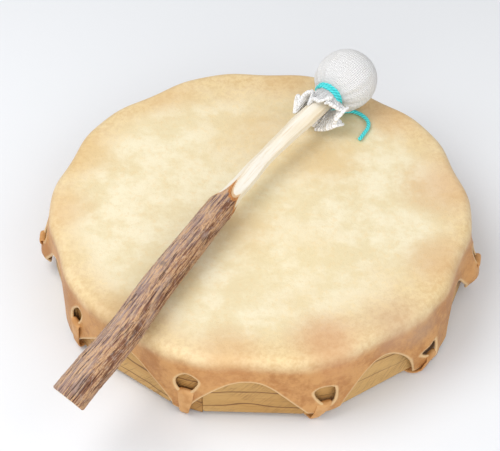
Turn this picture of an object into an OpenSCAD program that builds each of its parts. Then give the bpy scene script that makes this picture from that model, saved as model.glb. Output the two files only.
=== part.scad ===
// Laced hand drum on a hoop of ten boards and ten corner posts, with a branch beater on its head.
// Millimetres, +Z up. The drum stands on the bends of its laces in the plane z = 0.

/* [Hoop] */
// Distance from the drum's middle to the outer face of a board
flat_r = 175; // [140:1:220]
// Width of the corner posts
post_w = 28; // [20:1:34]
// How far the posts' outer faces stand back from the boards
post_back = 1.5; // [0:0.1:2]
// Height of the hoop's boards
hoop_h = 69; // [50:1:100]
// Thickness of the boards
board_t = 12; // [8:0.5:18]
// Rounding of the hoop's upper outer edge
edge_r = 7; // [4:0.5:10]
// Easing of each board's upright edges
ease = 1.2; // [0.5:0.1:2]
// Rounding of each board's lower corners
foot_r = 6; // [2:1:10]

/* [Hide] */
// Thickness of the hide
hide_t = 2; // [1.5:0.1:3]
// Height of the tips of the hide's lugs
lug_tip_z = 13; // [8:1:16]
// Height of the top of each scallop between two lugs
scallop_z = 45; // [36:1:50]
// Height of the middle of the lug holes
hole_z = 29; // [26:1:32]
// Width of the lug holes
hole_w = 20; // [14:1:22]
// Height of the lug holes
hole_h = 22; // [18:1:23]

/* [Lacing] */
// Width of the laces
lace_w = 9; // [6:0.5:10]
// Thickness of the laces
lace_t = 2; // [1.5:0.1:2.5]
// Radius of the middle of the hand ring
ring_r = 27; // [26:1:34]
// Thickness of the hand ring
ring_d = 8; // [6:0.5:9]

/* [Beater] */
// Diameter of the handle over the bark at its butt
butt_d = 29; // [24:1:32]
// How far from square the butt is sawn, in degrees
butt_slant = 30; // [0:1:40]
// Diameter of the handle over the bark where the whittling starts
grip_end_d = 23; // [20:1:26]
// Thickness of the bark
bark_t = 1.3; // [0.8:0.1:2]
// Diameter of the whittled shaft
shaft_d = 16.5; // [14:0.5:18]
// Diameter of the padded head
head_d = 53; // [48:1:54]
// Thickness of the cloth cover
cloth_t = 1.5; // [1:0.1:2]
// Diameter of the tie cord
cord_d = 3.6; // [3:0.1:3.8]
// Distance between the tie and the middle of the padded head
neck_len = 28; // [27:0.5:30]

/* [Hidden] */
$fn = 64;

// The middle of the drum, so that the whole object's box stands centred on the origin
drum_at = [1.3, 31, 0];

sides = 10;
turn = 360 / sides;
gap = 0.15;
board_z = lace_t;
head_z = board_z + hoop_h + gap + hide_t;
joint_turn = turn / 4;
board_half = flat_r * tan(turn / 2) - post_w / 2 / cos(turn / 2);
post_r = flat_r / cos(turn / 2) - post_w / 2 * tan(turn / 2);
in_r = flat_r - board_t;

// Where the lugs hang, by hand, so they are not quite even
lug_at = [-11, 30, 68, 106, 143, 180, 211, 252, 288, 321];
lug_half = 3.5;
scallop_power = 1.6;
// Directions of the points round the hide: one at each joint, and none at the middle of a post
joint_off = turn / 2 - atan(board_half / flat_r);
ring_turns = [for (i = [0:sides - 1])
    each concat([for (k = [0:2]) i * turn + joint_off * (2 * k / 3 - 1)],
                [for (k = [0:11]) i * turn + joint_off + (turn - 2 * joint_off) * k / 12])];
hide_clear = 0.6;
ring_z = 1.2 + lace_t + ring_d / 2;
loop_arc = lace_w / ring_r * 180 / PI;

// The beater's middle line in the drum's own frame, from the butt to the whittling and on
// to the point where the shaft runs straight into the head
grip_line = [[-142.5, -230, 82.5], [-133, -212, 83.3], [-122.5, -194.5, 84.2], [-112, -176.5, 85],
             [-102, -158, 85.9], [-93, -138.5, 86.8], [-83.5, -118, 87.7], [-72.5, -96.5, 88.7],
             [-61, -75, 89.7], [-49.5, -53.5, 90.8], [-39, -33.5, 91.7], [-28, -14.5, 92.5]];
shaft_line = [[-16, 6, 93.5], [-1, 31.5, 94.7], [20, 62.5, 96.3]];
head_at = [73.5, 137, 100];
head_dir = unit(head_at - shaft_line[2]);
tie_at = head_at - neck_len * head_dir;
stick_end = 8;
neck_r = shaft_d / 2 + 2.3;
stick_clear = 0.15;

// The tie cord's free end, in the drum's own frame: off the tie, down onto the head, and round
tail_line = [[60.5, 110.5, 85.8], [61.5, 112.5, 83], [63.5, 115, 80.2], [66.5, 118, 77.9],
             [70, 120.5, 76.2], [74, 122, 75.4], [78, 122.5, 75.3], [82, 121.5, 75.3], [85.5, 119.5, 75.3],
             [89, 116.5, 75.3], [92, 112.5, 75.3], [93.7, 108, 75.3], [93.8, 103.5, 75.3],
             [92.7, 99, 75.3], [90.5, 94.5, 75.3], [88, 89.5, 75.3], [85.3, 84.5, 75.3]];

function unit(v) = v / norm(v);
// Distance from the middle to the outside of the hoop in the direction a, grown by g all round
function outline(a, g) =
    let (from_corner = (a % turn + turn) % turn)
    min((flat_r + g) / cos(from_corner - turn / 2),
        (post_r + g) / cos(min(from_corner, turn - from_corner)));
// How far the direction a is from the nearest lug, in degrees
function off_lug(a) = min([for (l = lug_at) abs((a - l + 540) % 360 - 180)]);
// Height of the hide's lower edge: tips at the lugs, an arched scallop between
function edge_z(a) =
    let (u = min(1, max(0, (off_lug(a) - lug_half) / (turn / 2 - lug_half))))
    lug_tip_z + (scallop_z - lug_tip_z) * pow(1 - pow(1 - u, scallop_power), 1 / scallop_power);
// A ring of points round the drum's axis
function drum_ring(g, inset, z) =
    [for (a = ring_turns) let (d = outline(a, g) - inset) [d * cos(a), d * sin(a), z]];
// The ring along the hide's lower edge
function edge_ring(g) =
    [for (a = ring_turns) let (d = outline(a, g)) [d * cos(a), d * sin(a), edge_z(a)]];
// A ring of n points of radius r round the point p, square to the direction d or slanted back at the top
function round_ring(p, d, r, n, slant = 0) =
    let (e = unit(d), s = unit(cross(e, [0, 0, 1])), u = cross(s, e) - tan(slant) * e)
    [for (k = [0:n - 1]) p + r * (cos(360 * k / n) * s + sin(360 * k / n) * u)];
// The direction of a line of points at its point k
function along(line, k) = line[min(k + 1, len(line) - 1)] - line[max(k - 1, 0)];
function mix(a, b, t) = a + (b - a) * t;

// A solid through rings of points. It is closed by flat ends, or back onto its first ring.
module ring_solid(rings, closed = false) {
    n = len(rings[0]);
    m = len(rings);
    points = [for (r = rings) each r];
    walls = [for (i = [0:m - (closed ? 1 : 2)], k = [0:n - 1])
        let (a = i * n, b = (i + 1) % m * n, j = (k + 1) % n)
        each [[a + k, b + k, b + j], [a + k, b + j, a + j]]];
    ends = closed ? [] : [[for (k = [0:n - 1]) k], [for (k = [n - 1:-1:0]) (m - 1) * n + k]];
    polyhedron(points, concat(walls, ends), convexity = 6);
}

module on_drum() {
    translate(drum_at) children();
}

// Along the last straight stretch of the beater, with the tie at the origin and +Z to the head
module on_neck() {
    on_drum()
        translate(tie_at)
            rotate([0, acos(head_dir[2]), atan2(head_dir[1], head_dir[0])])
                children();
}

// The hoop's upright section, with its upper outer edge rounded
module hoop_section(back) {
    square([board_t - back, hoop_h - edge_r]);
    square([board_t - edge_r, hoop_h]);
    intersection() {
        translate([board_t - edge_r, hoop_h - edge_r]) circle(edge_r);
        square([board_t - back, hoop_h]);
    }
}

// A length of the hoop's section across +X, from the radius in_r outwards
module hoop_length(half, back) {
    translate([in_r, 0, 0])
        rotate([90, 0, 0])
            linear_extrude(2 * half, center = true) hoop_section(back);
}

// One of the ten boards: bevelled ends, eased upright edges and rounded lower corners
module hoop_board(i) {
    inner_half = board_half - board_t * tan(joint_turn);
    color("burlywood")
        on_drum()
            translate([0, 0, board_z])
                rotate([0, 0, (i + 0.5) * turn])
                    intersection() {
                        hoop_length(board_half, 0);
                        linear_extrude(hoop_h)
                            polygon([[in_r, -inner_half], [flat_r - ease, ease * tan(joint_turn) - board_half],
                                     [flat_r, ease - board_half], [flat_r, board_half - ease],
                                     [flat_r - ease, board_half - ease * tan(joint_turn)],
                                     [in_r, inner_half]]);
                        rotate([90, 0, 90]) linear_extrude(flat_r + 1) board_face();
                    }
}

// A board seen from outside
module board_face() {
    translate([-board_half, foot_r]) square([2 * board_half, hoop_h - foot_r]);
    translate([foot_r - board_half, 0]) square([2 * (board_half - foot_r), foot_r + 1]);
    for (x = [foot_r - board_half, board_half - foot_r])
        translate([x, foot_r]) circle(foot_r);
}

// One of the ten posts that fill the corners between the boards
module corner_post(i) {
    inner_half = post_w / 2 - board_t * tan(joint_turn);
    post_in = post_r - board_t;
    face_half = post_w / 2 - post_back * tan(joint_turn);
    color("peru")
        on_drum()
            translate([0, 0, board_z])
                rotate([0, 0, i * turn])
                    intersection() {
                        translate([post_r - flat_r, 0, 0]) hoop_length(post_w / 2, post_back);
                        linear_extrude(hoop_h)
                            polygon([[post_in, -inner_half], [post_r - post_back, -face_half],
                                     [post_r - post_back, face_half], [post_in, inner_half]]);
                    }
}

// A rounded triangle, wide at the top, through the hide
module lug_hole() {
    upper_r = 5.5;
    lower_r = 4;
    hull() {
        for (y = [-1, 1])
            translate([0, y * (hole_w / 2 - upper_r), hole_h / 2 - upper_r])
                rotate([0, 90, 0]) cylinder(h = 24, r = upper_r, $fn = 24);
        translate([0, 0, lower_r - hole_h / 2]) rotate([0, 90, 0]) cylinder(h = 24, r = lower_r, $fn = 24);
    }
}

// The hide: a flat head, a rounded rim and a scalloped skirt that ends in ten lugs
module drum_head() {
    out_r = edge_r + hide_t;
    bend_step = 18;
    outside = [for (a = [90:-bend_step:0])
        drum_ring(gap + hide_t, out_r * (1 - cos(a)), head_z - out_r * (1 - sin(a)))];
    inside = [for (a = [0:bend_step:90])
        drum_ring(gap, edge_r * (1 - cos(a)), head_z - hide_t - edge_r * (1 - sin(a)))];
    color("wheat")
        on_drum()
            difference() {
                ring_solid(concat(outside, [edge_ring(gap + hide_t), edge_ring(gap)], inside));
                for (a = lug_at)
                    rotate([0, 0, a]) translate([flat_r - edge_r, 0, hole_z]) lug_hole();
            }
}

// One lace: over the lip of its lug hole, down round the hoop's lower edge and in to the ring
module lace(i) {
    a = lug_at[i];
    out = outline(a, gap + hide_t) + hide_clear;
    lip_z = hole_z - hole_h / 2;
    rise = ring_r + ring_d / 2 + 10;
    loop_in = ring_d / 2 + 0.2;
    color("tan")
        on_drum()
            rotate([0, 0, a]) {
                rotate([90, 0, 0])
                    linear_extrude(lace_w, center = true)
                        polygon([[out, lip_z + 4], [out + lace_t, lip_z + 2],
                                 [out + lace_t, lace_t], [out, 0], [rise, 0],
                                 [ring_r + 2, ring_z - loop_in - lace_t],
                                 [ring_r + 2, ring_z - loop_in - 0.6],
                                 [rise, lace_t], [out, lace_t]]);
                rotate([0, 0, -loop_arc / 2])
                    rotate_extrude(angle = loop_arc)
                        translate([ring_r, ring_z])
                            difference() {
                                circle(loop_in + lace_t);
                                circle(loop_in);
                            }
            }
}

module hand_ring() {
    color("sienna")
        on_drum()
            translate([0, 0, ring_z])
                rotate_extrude()
                    translate([ring_r, 0]) circle(d = ring_d);
}

// Slant of the branch's end at its point k: only the butt is sawn askew
function sawn(k) = k == 0 ? butt_slant : 0;
// Radius of the branch over its bark at point k of the grip
function grip_r(k) = mix(butt_d, grip_end_d, k / (len(grip_line) - 1)) / 2;

// The wood of the branch: inside the bark, then whittled down, then into the padded head
module beater_stick() {
    last = len(grip_line) - 1;
    whole = concat(grip_line, shaft_line, [tie_at, head_at + stick_end * head_dir]);
    rings = [for (k = [0:len(whole) - 1])
        round_ring(whole[k], along(whole, k), k <= last ? grip_r(k) - bark_t - gap : shaft_d / 2, 20,
                   sawn(k))];
    color("cornsilk") on_drum() ring_solid(rings);
}

// The bark, left on the grip
module beater_bark() {
    last = len(grip_line) - 1;
    whole = concat(grip_line, shaft_line);
    outer = [for (k = [0:last]) round_ring(whole[k], along(whole, k), grip_r(k), 20, sawn(k))];
    inner = [for (k = [last:-1:0]) round_ring(whole[k], along(whole, k), grip_r(k) - bark_t, 20, sawn(k))];
    color("rosybrown") on_drum() ring_solid(concat(outer, inner), closed = true);
}

// The outline of the padded head, from its neck to its tip, as [radius, distance from the tie]
function head_outline(less) =
    [for (a = [-50:10:90]) [(head_d / 2 - less) * cos(a), neck_len + (head_d / 2 - less) * sin(a)]];

module beater_padding() {
    less = cloth_t + gap;
    bore = shaft_d / 2 + stick_clear;
    color("white")
        on_neck()
            difference() {
                rotate_extrude() polygon(concat([[0, 3.5], [bore + 0.8, 3.5]], head_outline(less)));
                translate([0, 0, -1]) cylinder(h = neck_len + stick_end + 1 + gap, r = bore);
            }
}

// The cloth: over the padding, gathered at the neck and flared below the tie
module beater_cover() {
    bore = shaft_d / 2 + stick_clear;
    flare = [[neck_r + 6, -20], [neck_r + 3, -13], [neck_r, -5], [neck_r, 3]];
    back = [[bore + 0.95, 3.3], [bore, 0], [bore, -5], [neck_r + 1.5, -13], [neck_r + 4.5, -20]];
    inner = head_outline(cloth_t);
    color("white")
        on_neck()
            rotate_extrude()
                polygon(concat(flare, head_outline(0), [for (k = [len(inner) - 1:-1:0]) inner[k]], back));
}

// Two turns of cord round the neck
module tie_turns() {
    color("turquoise")
        on_neck()
            for (z = [-1, 1])
                translate([0, 0, z * 0.45 * cord_d])
                    rotate_extrude()
                        translate([neck_r + cord_d / 2 + gap, 0]) circle(d = cord_d);
}

module tie_tail() {
    rings = [for (k = [0:len(tail_line) - 1]) round_ring(tail_line[k], along(tail_line, k), cord_d / 2, 8)];
    color("turquoise") on_drum() ring_solid(rings);
}

hoop_board(0);  // hoop_board_1
hoop_board(1);  // hoop_board_2
hoop_board(2);  // hoop_board_3
hoop_board(3);  // hoop_board_4
hoop_board(4);  // hoop_board_5
hoop_board(5);  // hoop_board_6
hoop_board(6);  // hoop_board_7
hoop_board(7);  // hoop_board_8
hoop_board(8);  // hoop_board_9
hoop_board(9);  // hoop_board_10
corner_post(0);  // corner_post_1
corner_post(1);  // corner_post_2
corner_post(2);  // corner_post_3
corner_post(3);  // corner_post_4
corner_post(4);  // corner_post_5
corner_post(5);  // corner_post_6
corner_post(6);  // corner_post_7
corner_post(7);  // corner_post_8
corner_post(8);  // corner_post_9
corner_post(9);  // corner_post_10
drum_head();
lace(0);  // lace_1
lace(1);  // lace_2
lace(2);  // lace_3
lace(3);  // lace_4
lace(4);  // lace_5
lace(5);  // lace_6
lace(6);  // lace_7
lace(7);  // lace_8
lace(8);  // lace_9
lace(9);  // lace_10
hand_ring();
beater_stick();
beater_bark();
beater_padding();
beater_cover();
tie_turns();
tie_tail();
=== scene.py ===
"""Looks for a laced rawhide hand drum and its branch beater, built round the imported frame."""
import math
from collections import namedtuple

import bpy
import numpy as np
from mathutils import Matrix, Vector, noise


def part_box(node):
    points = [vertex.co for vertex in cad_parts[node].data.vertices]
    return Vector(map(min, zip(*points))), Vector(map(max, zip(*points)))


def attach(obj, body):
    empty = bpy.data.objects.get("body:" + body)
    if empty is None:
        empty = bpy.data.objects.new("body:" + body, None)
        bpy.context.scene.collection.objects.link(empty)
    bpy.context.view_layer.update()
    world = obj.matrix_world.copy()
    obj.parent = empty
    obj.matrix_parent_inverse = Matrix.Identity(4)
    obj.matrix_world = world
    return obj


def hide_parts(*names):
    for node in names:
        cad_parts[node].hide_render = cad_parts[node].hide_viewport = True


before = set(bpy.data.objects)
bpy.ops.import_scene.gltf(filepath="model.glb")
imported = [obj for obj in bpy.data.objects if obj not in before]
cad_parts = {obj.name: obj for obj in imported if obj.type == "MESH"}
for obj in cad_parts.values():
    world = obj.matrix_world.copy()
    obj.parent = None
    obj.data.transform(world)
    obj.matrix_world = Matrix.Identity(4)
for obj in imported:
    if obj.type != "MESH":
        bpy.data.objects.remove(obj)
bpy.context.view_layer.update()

MM = 0.001
TAU = 2 * math.pi

# ---------------------------------------------------------------- the drum's sizes, from the frame

ring_low, ring_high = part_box("hand_ring")
AXIS = (ring_low + ring_high) / 2
AXIS.z = 0
_, head_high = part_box("drum_head")
HEAD_TOP = head_high.z
back_low, back_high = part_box("hoop_board_3")
FLAT_R = back_high.y - AXIS.y
BOARD_T = back_high.y - back_low.y
BOARD_HALF = (back_high.x - back_low.x) / 2
BOARD_LOW = back_low.z
HOOP_H = back_high.z - back_low.z
left_low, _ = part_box("corner_post_6")
POST_BACK = 1.5 * MM
POST_R = AXIS.x - left_low.x + POST_BACK
SIDES = 10
TURN = TAU / SIDES
POST_W = 2 * (FLAT_R * math.tan(TURN / 2) - BOARD_HALF) * math.cos(TURN / 2)
EDGE_R = 7 * MM
GAP = 0.15 * MM
HIDE_T = HEAD_TOP - back_high.z - GAP


def on_drum(x, y, z):
    """A point given in millimetres from the middle of the drum's foot."""
    return AXIS + Vector((x, y, z)) * MM


# ------------------------------------------------------------------------------ camera and light

CAMERA_AT = on_drum(33.5, -1212.4, 1255.4)
CAMERA_AIM = on_drum(-10.5, 48.7, 0)
camera_data = bpy.data.cameras.new("studio_camera")
camera_data.sensor_width = 36
camera_data.lens = 141.6
camera = bpy.data.objects.new("studio_camera", camera_data)
camera.location = CAMERA_AT
camera.rotation_euler = (CAMERA_AIM - CAMERA_AT).to_track_quat("-Z", "Y").to_euler()
bpy.context.collection.objects.link(camera)
bpy.context.scene.camera = camera
bpy.context.scene.view_settings.view_transform = "Standard"


# ---------------------------------------------------------------------------- lines and outlines

def smooth_line(points, count):
    """count points along a smooth curve through the points, evenly spaced."""
    p = np.array([tuple(q) for q in points], float)
    p = np.vstack([2 * p[0] - p[1], p, 2 * p[-1] - p[-2]])
    fine = []
    for k in range(1, len(p) - 2):
        a, b, c, d = p[k - 1:k + 3]
        for t in np.linspace(0, 1, 24, endpoint=False):
            fine.append(0.5 * (2 * b + (c - a) * t + (2 * a - 5 * b + 4 * c - d) * t * t
                               + (3 * b - a - 3 * c + d) * t ** 3))
    fine = np.array(fine + [p[-2]])
    run = np.concatenate([[0], np.cumsum(np.linalg.norm(np.diff(fine, axis=0), axis=1))])
    at = np.linspace(0, run[-1], count)
    return np.stack([np.interp(at, run, fine[:, k]) for k in range(3)], axis=1), at


def line_axes(line):
    """At each point of a line: its direction, the level direction to its right, and the way up."""
    ahead = np.gradient(line, axis=0)
    ahead /= np.linalg.norm(ahead, axis=1)[:, None]
    side = np.cross(ahead, [0, 0, 1])
    side /= np.linalg.norm(side, axis=1)[:, None]
    return ahead, side, np.cross(side, ahead)


def ease(x, low, high):
    """A smooth step of x from 0 at low to 1 at high."""
    t = np.clip((x - low) / (high - low), 0, 1)
    return t * t * (3 - 2 * t)


def round_off(gap, r):
    """From 0 at an edge to 1 at r inside it, as a quarter circle."""
    return np.sqrt(np.clip(1 - (1 - np.clip(gap / r, 0, 1)) ** 2, 0, 1))


def ripple(points, scale, seed=0.0, octaves=3):
    """Smooth noise from -1 to 1 at each point, with features about 1 / scale across."""
    shift = Vector((seed * 7.3, seed * 3.1, seed * 5.7))
    return np.array([noise.fractal(Vector(p) * scale + shift, 0.9, 2.0, octaves) for p in points])


def hoop_outline(angle, grown):
    """Distance from the drum's axis to the hoop's outside in a direction, grown all round."""
    from_corner = angle % TURN
    board = (FLAT_R + grown) / np.cos(from_corner - TURN / 2)
    post = (POST_R + grown) / np.cos(np.minimum(from_corner, TURN - from_corner))
    return np.minimum(board, post)


# ------------------------------------------------------------------------------------- modelling

def deselect():
    if bpy.context.object and bpy.context.object.mode != "OBJECT":
        bpy.ops.object.mode_set(mode="OBJECT")
    bpy.ops.object.select_all(action="DESELECT")


def choose(piece):
    """Makes a piece the only selected one, and the active one."""
    deselect()
    piece.select_set(True)
    bpy.context.view_layer.objects.active = piece


def settle(name):
    """Names the piece just modelled and puts its place into its mesh."""
    piece = bpy.context.object
    piece.name = piece.data.name = name
    bpy.ops.object.transform_apply(location=True, rotation=True, scale=True)
    return piece


def edit(piece, *steps):
    """Runs edit-mode steps on the whole of a piece."""
    choose(piece)
    bpy.ops.object.mode_set(mode="EDIT")
    bpy.ops.mesh.select_all(action="SELECT")
    for step in steps:
        step()
    bpy.ops.object.mode_set(mode="OBJECT")


def merge():
    bpy.ops.mesh.remove_doubles(threshold=2e-6)


def face_out():
    bpy.ops.mesh.normals_make_consistent(inside=False)


def smooth(piece):
    piece.data.shade_smooth()


def smooth_by_angle(piece, degrees):
    choose(piece)
    bpy.ops.object.shade_smooth_by_angle(angle=math.radians(degrees))


def sew(piece):
    """Joins a wrapped piece along its seam, faces it outward and smooths it."""
    edit(piece, merge, face_out)
    smooth(piece)


def modify(piece, kind, **settings):
    """Adds a modifier to a piece and applies it."""
    choose(piece)
    modifier = piece.modifiers.new(kind.lower(), kind)
    for key, value in settings.items():
        setattr(modifier, key, value)
    bpy.ops.object.modifier_apply(modifier=modifier.name)


def read_points(piece):
    co = np.empty(len(piece.data.vertices) * 3)
    piece.data.vertices.foreach_get("co", co)
    return co.reshape(-1, 3)


def write_points(piece, co):
    piece.data.vertices.foreach_set("co", np.asarray(co, float).ravel())
    piece.data.update()


def note(piece, name, values):
    """Keeps a number or a vector for each vertex, for a material to read."""
    values = np.asarray(values, float)
    kind, key = ("FLOAT", "value") if values.ndim == 1 else ("FLOAT_VECTOR", "vector")
    kept = piece.data.attributes.new(name, kind, "POINT")
    kept.data.foreach_set(key, values.ravel())


def wrapped_grid(name, across, along, place):
    """A grid wrapped by place(u, v), which gives each vertex's point for u and v from 0 to 1."""
    deselect()
    bpy.ops.mesh.primitive_grid_add(x_subdivisions=across, y_subdivisions=along, size=1,
                                    location=(0.5, 0.5, 0))
    piece = settle(name)
    flat = read_points(piece)
    write_points(piece, place(np.clip(flat[:, 0], 0, 1), np.clip(flat[:, 1], 0, 1)))
    return piece


def dress(piece, finish, body, slot, *nodes):
    """Gives a piece its finish, its body and the CAD nodes that it stands for. The slot is not used."""
    piece.data.materials.clear()
    piece.data.materials.append(finish)
    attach(piece, body)
    if nodes:
        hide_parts(*nodes)


# ------------------------------------------------------------------------------------- materials

class Amount:
    """A shader socket. Sums and products on it add Math nodes."""

    def __init__(self, finish, socket):
        self.finish, self.socket = finish, socket

    def combine(self, operation, *values):
        return self.finish.add("ShaderNodeMath", {"operation": operation}, dict(enumerate(values)))

    def math(self, operation):
        return self.combine(operation, self)

    def __add__(self, other):
        return self.combine("ADD", self, other)

    def __sub__(self, other):
        return self.combine("SUBTRACT", self, other)

    def __rsub__(self, other):
        return self.combine("SUBTRACT", other, self)

    def __mul__(self, other):
        return self.combine("MULTIPLY", self, other)

    def __pow__(self, other):
        return self.combine("POWER", self, other)

    __radd__, __rmul__ = __add__, __mul__


class Finish:
    """A material in the making. Its add method makes every node."""

    def __init__(self, name, **constants):
        self.material = bpy.data.materials.new(name)
        self.material.use_nodes = True
        self.nodes = self.material.node_tree.nodes
        self.shader = self.nodes["Principled BSDF"]
        for key, value in constants.items():
            self.shader.inputs[key.replace("_", " ")].default_value = value

    def add(self, kind, settings=None, inputs=None, output=0):
        node = self.nodes.new(kind)
        for key, value in (settings or {}).items():
            setattr(node, key, value)
        for key, value in (inputs or {}).items():
            self.feed(node.inputs[key], value)
        return Amount(self, node.outputs[output])

    def feed(self, socket, value):
        if isinstance(value, Amount):
            self.material.node_tree.links.new(value.socket, socket)
        elif hasattr(value, "__len__") and socket.type == "RGBA":
            socket.default_value = (*value, 1)
        else:
            socket.default_value = value

    def set(self, **inputs):
        for key, value in inputs.items():
            self.feed(self.shader.inputs[key.replace("_", " ")], value)
        return self.material

    def place(self):
        return self.add("ShaderNodeTexCoord", output="Object")

    def noted(self, name, output="Fac"):
        return self.add("ShaderNodeAttribute", {"attribute_name": name}, output=output)

    def scaled(self, vector, scale, turn=(0, 0, 0)):
        return self.add("ShaderNodeMapping", None, {"Vector": vector, "Scale": scale, "Rotation": turn})

    def noise(self, vector, scale, detail=3.0, roughness=0.5, distortion=0.0):
        return self.add("ShaderNodeTexNoise", None, {"Vector": vector, "Scale": scale, "Detail": detail,
                                                     "Roughness": roughness, "Distortion": distortion})

    def spots(self, vector, scale, randomness=1.0):
        return self.add("ShaderNodeTexVoronoi", None,
                        {"Vector": vector, "Scale": scale, "Randomness": randomness}, "Distance")

    def step(self, value, low, high):
        """A smooth step of a value from 0 at low to 1 at high."""
        return self.add("ShaderNodeMapRange", {"interpolation_type": "SMOOTHSTEP"},
                        {"Value": value, "From Min": low, "From Max": high})

    def split(self, vector):
        first = self.add("ShaderNodeSeparateXYZ", None, {0: vector})
        return [Amount(self, first.socket.node.outputs[k]) for k in range(3)]

    def blend(self, first, second, share):
        return self.add("ShaderNodeMix", {"data_type": "RGBA"}, {0: share, 6: first, 7: second}, 2)

    def bump(self, height, depth, strength=1.0):
        return self.add("ShaderNodeBump", None, {"Height": height, "Distance": depth, "Strength": strength})


def hide_finish():
    f = Finish("dried_rawhide", Specular_IOR_Level=0.35)
    place = f.place()
    x, y, z = f.split(place)
    out = ((x - AXIS.x) ** 2 + (y - AXIS.y) ** 2) ** 0.5
    warp = f.noise(place, 8, 3, 0.55)
    cloud = f.noise(place, 34, 5, 0.65)
    fine = f.noise(place, 210, 5, 0.7)
    grit = f.noise(place, 1100, 2, 0.6)
    near_rim = f.step(out + 0.050 * (warp - 0.5) + 0.016 * (cloud - 0.5), 0.138, 0.176)
    low = f.step(z + 0.010 * (warp - 0.5) + 0.008 * (cloud - 0.5), HEAD_TOP - 1 * MM, HEAD_TOP - 16 * MM)
    cream = f.blend((0.76, 0.65, 0.41), (0.84, 0.76, 0.55), f.step(cloud, 0.38, 0.64))
    amber = f.blend((0.66, 0.42, 0.17), (0.80, 0.60, 0.31), f.step(fine, 0.35, 0.65))
    tan = f.blend((0.42, 0.165, 0.038), (0.57, 0.275, 0.085), f.step(cloud + 0.5 * (fine - 0.5), 0.36, 0.62))
    colour = f.blend(cream, amber, 0.34 * f.step(warp, 0.46, 0.72) + 0.30 * f.step(fine, 0.50, 0.66))
    colour = f.blend(colour, amber, 0.62 * near_rim)
    colour = f.blend(colour, tan, 0.92 * low)
    for at, size, share, paint in HIDE_PATCHES:
        away = f.add("ShaderNodeVectorMath", {"operation": "DISTANCE"}, {0: place, 1: on_drum(*at)}, "Value")
        patch = f.step(away + 0.030 * (cloud - 0.5) + 0.02 * (warp - 0.5), size * MM, 6 * MM)
        colour = f.blend(colour, paint, share * patch)
    speck = f.step(grit, 0.60, 0.72) * f.step(fine, 0.40, 0.6)
    colour = f.blend(colour, (0.42, 0.24, 0.10), 0.30 * speck)
    pale = f.step(f.noted("at_edge"), 0.25, 0.9)
    colour = f.blend(colour, (0.80, 0.60, 0.33), 0.62 * pale)
    height = 0.6 * fine + 0.25 * grit + 0.8 * cloud
    return f.set(Base_Color=colour, Roughness=0.36 + 0.2 * fine, Normal=f.bump(height, 0.0012, 0.7))


# Where the hide is darker or rosier: the place on the drum, its size, its strength and its colour
HIDE_PATCHES = [
    ((60, -152, 70), 44, 0.55, (0.58, 0.27, 0.13)),
    ((112, -128, 66), 40, 0.50, (0.50, 0.31, 0.20)),
    ((132, -112, 50), 26, 0.55, (0.36, 0.26, 0.20)),
    ((-20, -170, 66), 40, 0.35, (0.62, 0.30, 0.11)),
    ((-158, 60, 72), 44, 0.35, (0.68, 0.42, 0.15)),
    ((-168, -10, 72), 34, 0.30, (0.66, 0.38, 0.15)),
    ((158, 30, 72), 52, 0.42, (0.64, 0.34, 0.15)),
    ((150, -60, 72), 40, 0.40, (0.62, 0.34, 0.15)),
    ((-112, -132, 68), 36, 0.35, (0.58, 0.33, 0.13)),
    ((-90, 140, 73), 40, 0.30, (0.66, 0.40, 0.16)),
    ((20, 168, 73), 46, 0.30, (0.66, 0.40, 0.17)),
    ((110, 120, 73), 44, 0.42, (0.62, 0.34, 0.14)),
    ((-14, -30, 73), 44, 0.25, (0.66, 0.42, 0.15)),
    ((60, 60, 73), 46, 0.30, (0.66, 0.42, 0.16)),
    ((30, -60, 73), 60, 0.12, (0.90, 0.74, 0.40)),
    ((0, 100, 73), 40, 0.25, (0.68, 0.43, 0.17)),
]


def lace_finish():
    f = Finish("rawhide_lace", Specular_IOR_Level=0.4)
    place = f.place()
    cloud = f.noise(place, 60, 3, 0.6)
    fine = f.noise(place, 420, 3, 0.6)
    colour = f.blend((0.52, 0.245, 0.075), (0.66, 0.37, 0.15), f.step(cloud, 0.35, 0.65))
    colour = f.blend(colour, (0.55, 0.36, 0.20), 0.35 * f.step(fine, 0.55, 0.8))
    return f.set(Base_Color=colour, Roughness=0.45 + 0.2 * fine,
                 Normal=f.bump(0.6 * fine + cloud, 0.0006, 0.6))


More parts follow.
